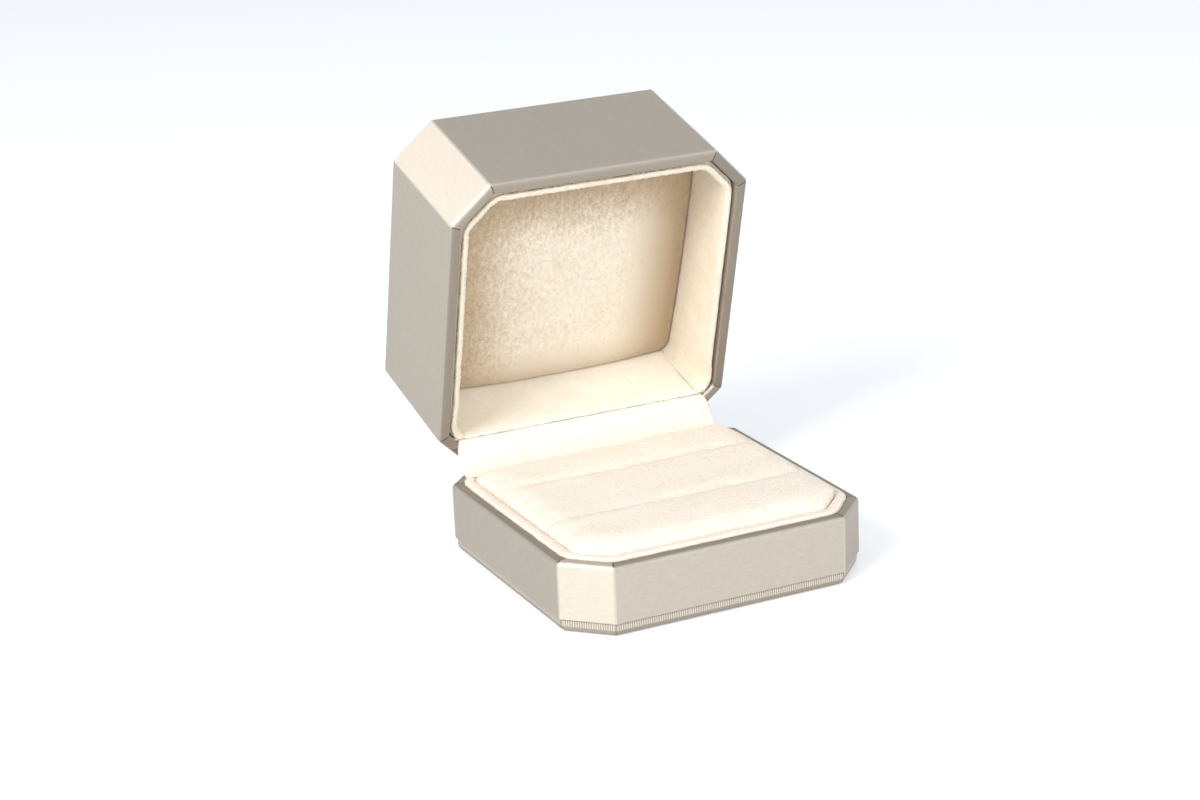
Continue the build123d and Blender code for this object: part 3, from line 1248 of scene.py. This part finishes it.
def makePanel():
    piece = panelPiece
    back = piece["back"]
    front = piece["inset"] - box["half"]
    centre = (0.0, (back + front) / 2)
    halfY = (back - front) / 2
    halfX = box["half"] - piece["inset"]
    blend = piece["cornerBlend"]
    sides = wallSides(piece["inset"], back=back)

    def topAt(x, y):
        # heights are turned over: the padded side faces the rim, and leans with the back wall
        domeX = piece["domeX"] * abs(x / halfX) ** piece["domeRise"]
        domeY = piece["domeY"] * abs((y - centre[1]) / halfY) ** piece["domeRise"]
        drop = softDrop(edgeGap(x, y, sides, blend), piece["edgeWidth"], piece["edgeDrop"])
        dome = domeX + domeY + drop
        return -(box["lidRim"] + piece["face"] + dome + piece["lean"] * (y - centre[1]))

    bottom = -(box["lidRim"] + piece["bottomDepth"])
    points, faces = cushionForm(sides, centre, blend, topAt, bottom)
    placed = [lidPlace(x, y, -z) for x, y, z in points]
    obj = makeObject("lidPanel", placed, faces, panelSuede)
    heldFrom = lidPlace(0, 0, box["lidRim"] + piece["face"] + piece["heldBehind"]) / mm
    inwards = (lidPlace(0, 0, 1) - lidPlace(0, 0, 0)) / mm
    swell(obj, -inwards.normalized(), lambda co: (co - heldFrom).dot(inwards) > 0)
    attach(obj, "lid")
    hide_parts("lid_panel_suede", "lid_panel_foam")


makePanel()
print("lid panel made")


# ends and slots are (width, depth) of a fall; fades are (start, run, share) along x
padPiece = {
    "inset": 4.78,
    "back": 25.8,
    "bottom": 6.25,
    "top": 18.2,
    "crown": 0.2,
    "slope": 0.022,
    "gap": 0.08,
    "cornerBlend": 0.5,
    "rollBlend": 0.05,
    "end": (6.5, 2.1),
    "rightEnd": (1.6, 0.5),
    "rightRun": (9, 5),
    "slotRear": (1.4, 0.5),
    "slotFront": (7.0, 1.1),
    "leftFade": (4, 20, 0.85),
    "rightFade": (14, 14, 0.3),
    "uneven": 0.3,
    "unevenPerMm": (0.09, 0.12),
    "unevenShift": 11.0,
    "fadeUneven": 0.9,
    "fadePerMm": 0.11,
    "fadeShift": 17.0,
    "heldUnder": 5,
    "fill": 0.7,
    "rolls": {
        "padFront": (-30.22, -12.0, "pad_suede_front", "pad_foam_front"),
        "padMiddle": (-12.0, 10.5, "pad_suede_middle", "pad_foam_middle"),
        "padRear": (10.5, 25.8, "pad_suede_rear", "pad_foam_rear"),
    },
}


def makeRoll(name, low, high, replaced):
    piece = padPiece
    gap = piece["gap"] / 2
    wall = box["half"] - piece["inset"]
    hasFrontSlot = low > -wall
    hasRearSlot = high < piece["back"]
    yLow = low + (gap if hasFrontSlot else 0)
    yHigh = high - (gap if hasRearSlot else 0)
    centre = (0.0, (yLow + yHigh) / 2)
    halfY = (yHigh - yLow) / 2
    whole = wallSides(piece["inset"], back=piece["back"])
    alongX, alongY = piece["unevenPerMm"]
    rightX, rightY = piece["rightRun"]
    leftStart, leftRun, leftShare = piece["leftFade"]
    rightStart, rightRun, rightShare = piece["rightFade"]

    def topAt(x, y):
        # highest along the rear edge, falling towards the slot in front of it
        level = piece["top"] - piece["crown"] * ((y - centre[1]) / halfY) ** 2
        level -= piece["slope"] * (yHigh - y)
        uneven = noise.noise(Vector((x * alongX, y * alongY, piece["unevenShift"])))
        level += uneven * piece["uneven"]
        # the three rolls share one soft outer edge, fuller at the right end
        right = unit(1 - (wall - x) / rightX) * unit((y + wall) / rightY)
        width, depth = [a + (b - a) * right for a, b in zip(piece["end"], piece["rightEnd"])]
        level -= softDrop(edgeGap(x, y, whole, piece["cornerBlend"]), width, depth)
        # a crisp edge behind a slot, a long soft fall in front; slots close up towards the ends
        fade = 1 - leftShare * unit((-x - leftStart) / leftRun)
        fade -= rightShare * unit((x - rightStart) / rightRun)
        uneven = noise.noise(Vector((x * piece["fadePerMm"], low, piece["fadeShift"])))
        fade *= 1 + piece["fadeUneven"] * uneven
        if hasRearSlot:
            level -= softDrop(yHigh - y, piece["slotRear"][0], piece["slotRear"][1] * fade)
        if hasFrontSlot:
            level -= softDrop(y - yLow, piece["slotFront"][0], piece["slotFront"][1] * fade)
        return level

    sides = wallSides(piece["inset"], back=yHigh, front=yLow)
    points, faces = cushionForm(sides, centre, piece["rollBlend"], topAt, piece["bottom"])
    placed = [basePlace(x, y, z) for x, y, z in points]
    obj = makeObject(name, placed, faces, padSuede)
    swell(obj, Vector((0, 0, 1)), lambda co: co.z < piece["top"] - piece["heldUnder"])
    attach(obj, "base")
    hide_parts(*replaced)


for rollName, (low, high, cover, foam) in padPiece["rolls"].items():
    makeRoll(rollName, low, high, (cover, foam))
print("pad rolls made")


bottomPiece = {
    "inset": 0.42,
    "height": 2.85,
    "topRound": 0.45,
    "topParts": 6,
    "lowRound": 1.8,
    "lowParts": 8,
    "cornerRound": 1.2,
    "cornerStep": 0.5,
    "coverWidth": 8.0,
}


def makeBottomCover():
    # leatherette drawn round the board's edge: a small bead above, a long curve under it
    piece = bottomPiece
    corners = octagonCorners(piece["inset"])
    stations = roundedPath(corners, piece["cornerRound"], piece["cornerStep"], closed=True)
    top = piece["height"]
    section = [(piece["coverWidth"], top), (piece["coverWidth"] / 2, top)]
    for k in range(piece["topParts"] + 1):
        angle = math.pi / 2 * k / piece["topParts"]
        reach = piece["topRound"]
        section.append((reach - reach * math.sin(angle), top - reach * (1 - math.cos(angle))))
    for k in range(piece["lowParts"] + 1):
        angle = math.pi / 2 * k / piece["lowParts"]
        reach = piece["lowRound"]
        section.append((reach - reach * math.cos(angle), reach * (1 - math.sin(angle))))
    section += [(piece["coverWidth"] / 2, 0.0), (piece["coverWidth"], 0.0)]
    points, faces = sweepSection(stations, section, basePlace, True)
    width = len(section)
    count = len(stations)
    for level, last in ((top, 0), (0.0, width - 1)):
        centre = len(points)
        points.append(basePlace(0, 0, level))
        for i in range(count):
            faces.append((centre, i * width + last, ((i + 1) % count) * width + last))
    obj = makeObject("bottomCover", points, faces, leatheretteBoard)
    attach(obj, "base")
    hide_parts("bottom_leatherette")


makeBottomCover()
print("bottom cover made")


def makeRearLining():
    # two skins, joined along their four edges, with a rounded edge at the rim
    piece = rearPiece
    rows = piece["rows"]
    columns = piece["columns"]
    points = []
    for side in (0, 1):
        for j in range(rows + 1):
            share = (j / rows) ** piece["rowCrowding"]
            z = box["lidRim"] + piece["low"] + (piece["high"] - piece["low"]) * share
            face = paddedFace(z)
            past = face + side * piece["thick"] - piece["cutFrom"]
            reach = box["half"] - box["rimWidth"] - piece["cutGap"] - past
            half = min(piece["half"], reach)
            edge = max(0.0, 1 - (z - box["lidRim"] - piece["low"]) / piece["edgeRound"])
            inward = piece["thick"] / 2 * (1 - math.sqrt(max(0.0, 1 - edge * edge)))
            for i in range(columns + 1):
                x = -half + 2 * half * i / columns
                bump = fluffAt(x, z, 0.0, piece["fluffPerMm"], 3.0 + side) * piece["fluff"]
                y = face + side * piece["thick"] + (inward if side == 0 else -inward) + bump
                points.append(lidPlace(x, y, z))
    width = columns + 1
    layer = width * (rows + 1)
    faces = []
    for side in (0, 1):
        for j in range(rows):
            for i in range(columns):
                a = side * layer + j * width + i
                faces.append((a, a + 1, a + 1 + width, a + width))
    for i in range(columns):
        for j in (0, rows):
            a = j * width + i
            faces.append((a, a + 1, a + 1 + layer, a + layer))
    for j in range(rows):
        for i in (0, columns):
            a = j * width + i
            faces.append((a, a + width, a + width + layer, a + layer))
    obj = makeObject("lidRearLining", points, faces, rearSuede)
    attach(obj, "lid")
    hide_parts("lid_rear_lining")


makeRearLining()
print("rear lining made")


# (y, z, half width) down from the lid's rim; inside the lid the cut corners keep it narrower
flapPiece = {
    "tuck": (27.98, 1.2, 29.9),
    "path": [
        (32.8, 21.3, 30.4),
        (31.85, 19.85, 30.8),
        (30.55, 17.6, 30.9),
        (28.75, 15.65, 30.8),
        (27.35, 13.7, 30.75),
        (26.75, 11.0, 30.7),
        (26.65, 8.6, 30.7),
        (26.65, 6.3, 30.7),
    ],
    "thick": 0.7,
    "spanParts": 10,
    "columns": 160,
    "ripple": 0.12,
    "ripplePerMm": 0.12,
    "rippleRuns": 3,
    "rippleShift": 5.0,
    "bendStart": (27.3, 13.0),
    "bendEnd": (33.6, 21.6),
}


def catmullRom(points, perSpan):
    padded = [points[0], *points, points[-1]]
    curve = []
    for k in range(1, len(padded) - 2):
        a, b, c, d = (Vector(p) for p in padded[k - 1 : k + 3])
        for m in range(perSpan):
            t = m / perSpan
            square = (2 * a - 5 * b + 4 * c - d) * t**2
            cube = (3 * b - a - 3 * c + d) * t**3
            curve.append(0.5 * ((2 * b) + (c - a) * t + square + cube))
    curve.append(Vector(points[-1]))
    return curve


def makeFlap():
    piece = flapPiece
    tuckY, tuckZ, tuckHalf = piece["tuck"]
    topPoint = lidPlace(0, tuckY, box["lidRim"] + tuckZ) / mm
    knots = [(topPoint.y, topPoint.z, tuckHalf), *piece["path"]]
    curve = catmullRom(knots, piece["spanParts"])
    columns = piece["columns"]
    points = []
    for k, spot in enumerate(curve):
        before = curve[max(0, k - 1)]
        after = curve[min(len(curve) - 1, k + 1)]
        along = (after - before).to_2d().normalized()
        rippleY = k / (len(curve) - 1) * piece["rippleRuns"]
        half = spot.z
        for i in range(columns + 1):
            x = -half + 2 * half * i / columns
            place = Vector((x * piece["ripplePerMm"], rippleY, piece["rippleShift"]))
            ripple = noise.noise(place) * piece["ripple"]
            points.append(basePlace(x, spot.x - along.y * ripple, spot.y + along.x * ripple))
    width = columns + 1
    faces = []
    for k in range(len(curve) - 1):
        for i in range(columns):
            a = k * width + i
            faces.append((a, a + 1, a + 1 + width, a + width))
    obj = makeObject("hingeFlap", points, faces, rearSuede)
    thicken(obj, piece["thick"], 0)
    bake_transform(obj)
    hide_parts("hinge_flap")
    runLength(curve) * mm


makeFlap()
print("flap made")


def makeSpring():
    # the frame's steel strip again, as a piece of its own
    strip = nodes["hinge_bow_spring"]
    obj = bpy.data.objects.new("bowSpring", strip.data.copy())
    obj.matrix_world = strip.matrix_world.copy()
    bpy.context.scene.collection.objects.link(obj)
    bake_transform(obj)
    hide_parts("hinge_bow_spring")


makeSpring()
print("spring made")


# places and lamp sizes in metres, powers in watts
stagePiece = {
    "floorHalf": 3,
    "floorColour": "#F4F6F8",
    "floorGlow": "#F8FBFF",
    "floorLift": 0.33,
    "worldColour": "#F3F7FC",
    "worldStrength": 1.03,
    "worldTop": 0.4,
    "worldFade": (0.1, 0.8),
    "backdropColour": "#FDFFFF",
    "aim": (0, 0, 0.03),
    "lamps": {
        "key": {"power": 6.3, "size": 0.36, "place": (-0.74, -0.36, 0.56)},
        "fill": {"power": 7.6, "size": 1.2, "place": (0.4, -1.2, 0.4)},
        "top": {"power": 1.9, "size": 0.8, "place": (-0.3, -0.5, 1.1)},
    },
}


def makeFloor():
    # matt white paper, evenly lit: no gloss, and lifted a little to the white of the photo
    piece = stagePiece
    material, tree = newMaterial("seamlessPaper")
    path = addNode(tree, "ShaderNodeLightPath")
    lift = addNode(
        tree,
        "ShaderNodeMath",
        {"operation": "MULTIPLY"},
        {0: path.outputs["Is Camera Ray"], 1: piece["floorLift"]},
    ).outputs[0]
    matte = addNode(tree, "ShaderNodeBsdfDiffuse", {}, {"Color": linear(piece["floorColour"])})
    glow = addNode(
        tree, "ShaderNodeEmission", {}, {"Color": linear(piece["floorGlow"]), "Strength": lift}
    )
    both = addNode(tree, "ShaderNodeAddShader", {}, {0: matte.outputs[0], 1: glow.outputs[0]})
    addNode(tree, "ShaderNodeOutputMaterial", {}, {"Surface": both.outputs[0]})
    half = piece["floorHalf"]
    points = [(-half, -half, 0), (half, -half, 0), (half, half, 0), (-half, half, 0)]
    floor = makeObject("floor", points, [(0, 1, 2, 3)], material, False)


def makeWorld():
    # the room is bright round the horizon and dimmer overhead
    piece = stagePiece
    world = bpy.data.worlds.new("studio")
    bpy.context.scene.world = world
    world.use_nodes = True
    tree = world.node_tree
    tree.nodes.clear()
    path = addNode(tree, "ShaderNodeLightPath")
    way = addNode(tree, "ShaderNodeTexCoord")
    height = addNode(tree, "ShaderNodeSeparateXYZ", {}, {"Vector": way.outputs["Generated"]})
    level = addNode(
        tree,
        "ShaderNodeMapRange",
        {"interpolation_type": "SMOOTHSTEP"},
        {
            "Value": height.outputs["Z"],
            "From Min": piece["worldFade"][0],
            "From Max": piece["worldFade"][1],
            "To Min": piece["worldStrength"],
            "To Max": piece["worldTop"],
        },
    ).outputs["Result"]
    soft = addNode(
        tree, "ShaderNodeBackground", {}, {"Color": linear(piece["worldColour"]), "Strength": level}
    )
    white = addNode(
        tree, "ShaderNodeBackground", {}, {"Color": linear(piece["backdropColour"]), "Strength": 1.0}
    )
    mixed = addNode(
        tree,
        "ShaderNodeMixShader",
        {},
        {0: path.outputs["Is Camera Ray"], 1: soft.outputs[0], 2: white.outputs[0]},
    )
    addNode(tree, "ShaderNodeOutputWorld", {}, {"Surface": mixed.outputs[0]})


def makeLamps():
    for name, lampPiece in stagePiece["lamps"].items():
        light = bpy.data.lights.new(name, "AREA")
        light.energy = lampPiece["power"]
        light.size = lampPiece["size"]
        lamp = bpy.data.objects.new(name, light)
        bpy.context.scene.collection.objects.link(lamp)
        lamp.location = lampPiece["place"]
        aim = Vector(stagePiece["aim"]) - lamp.location
        lamp.rotation_euler = aim.to_track_quat("-Z", "Y").to_euler()


makeFloor()
makeWorld()
makeLamps()
print("stage lit")

bpy.context.scene.view_settings.view_transform = "Standard"
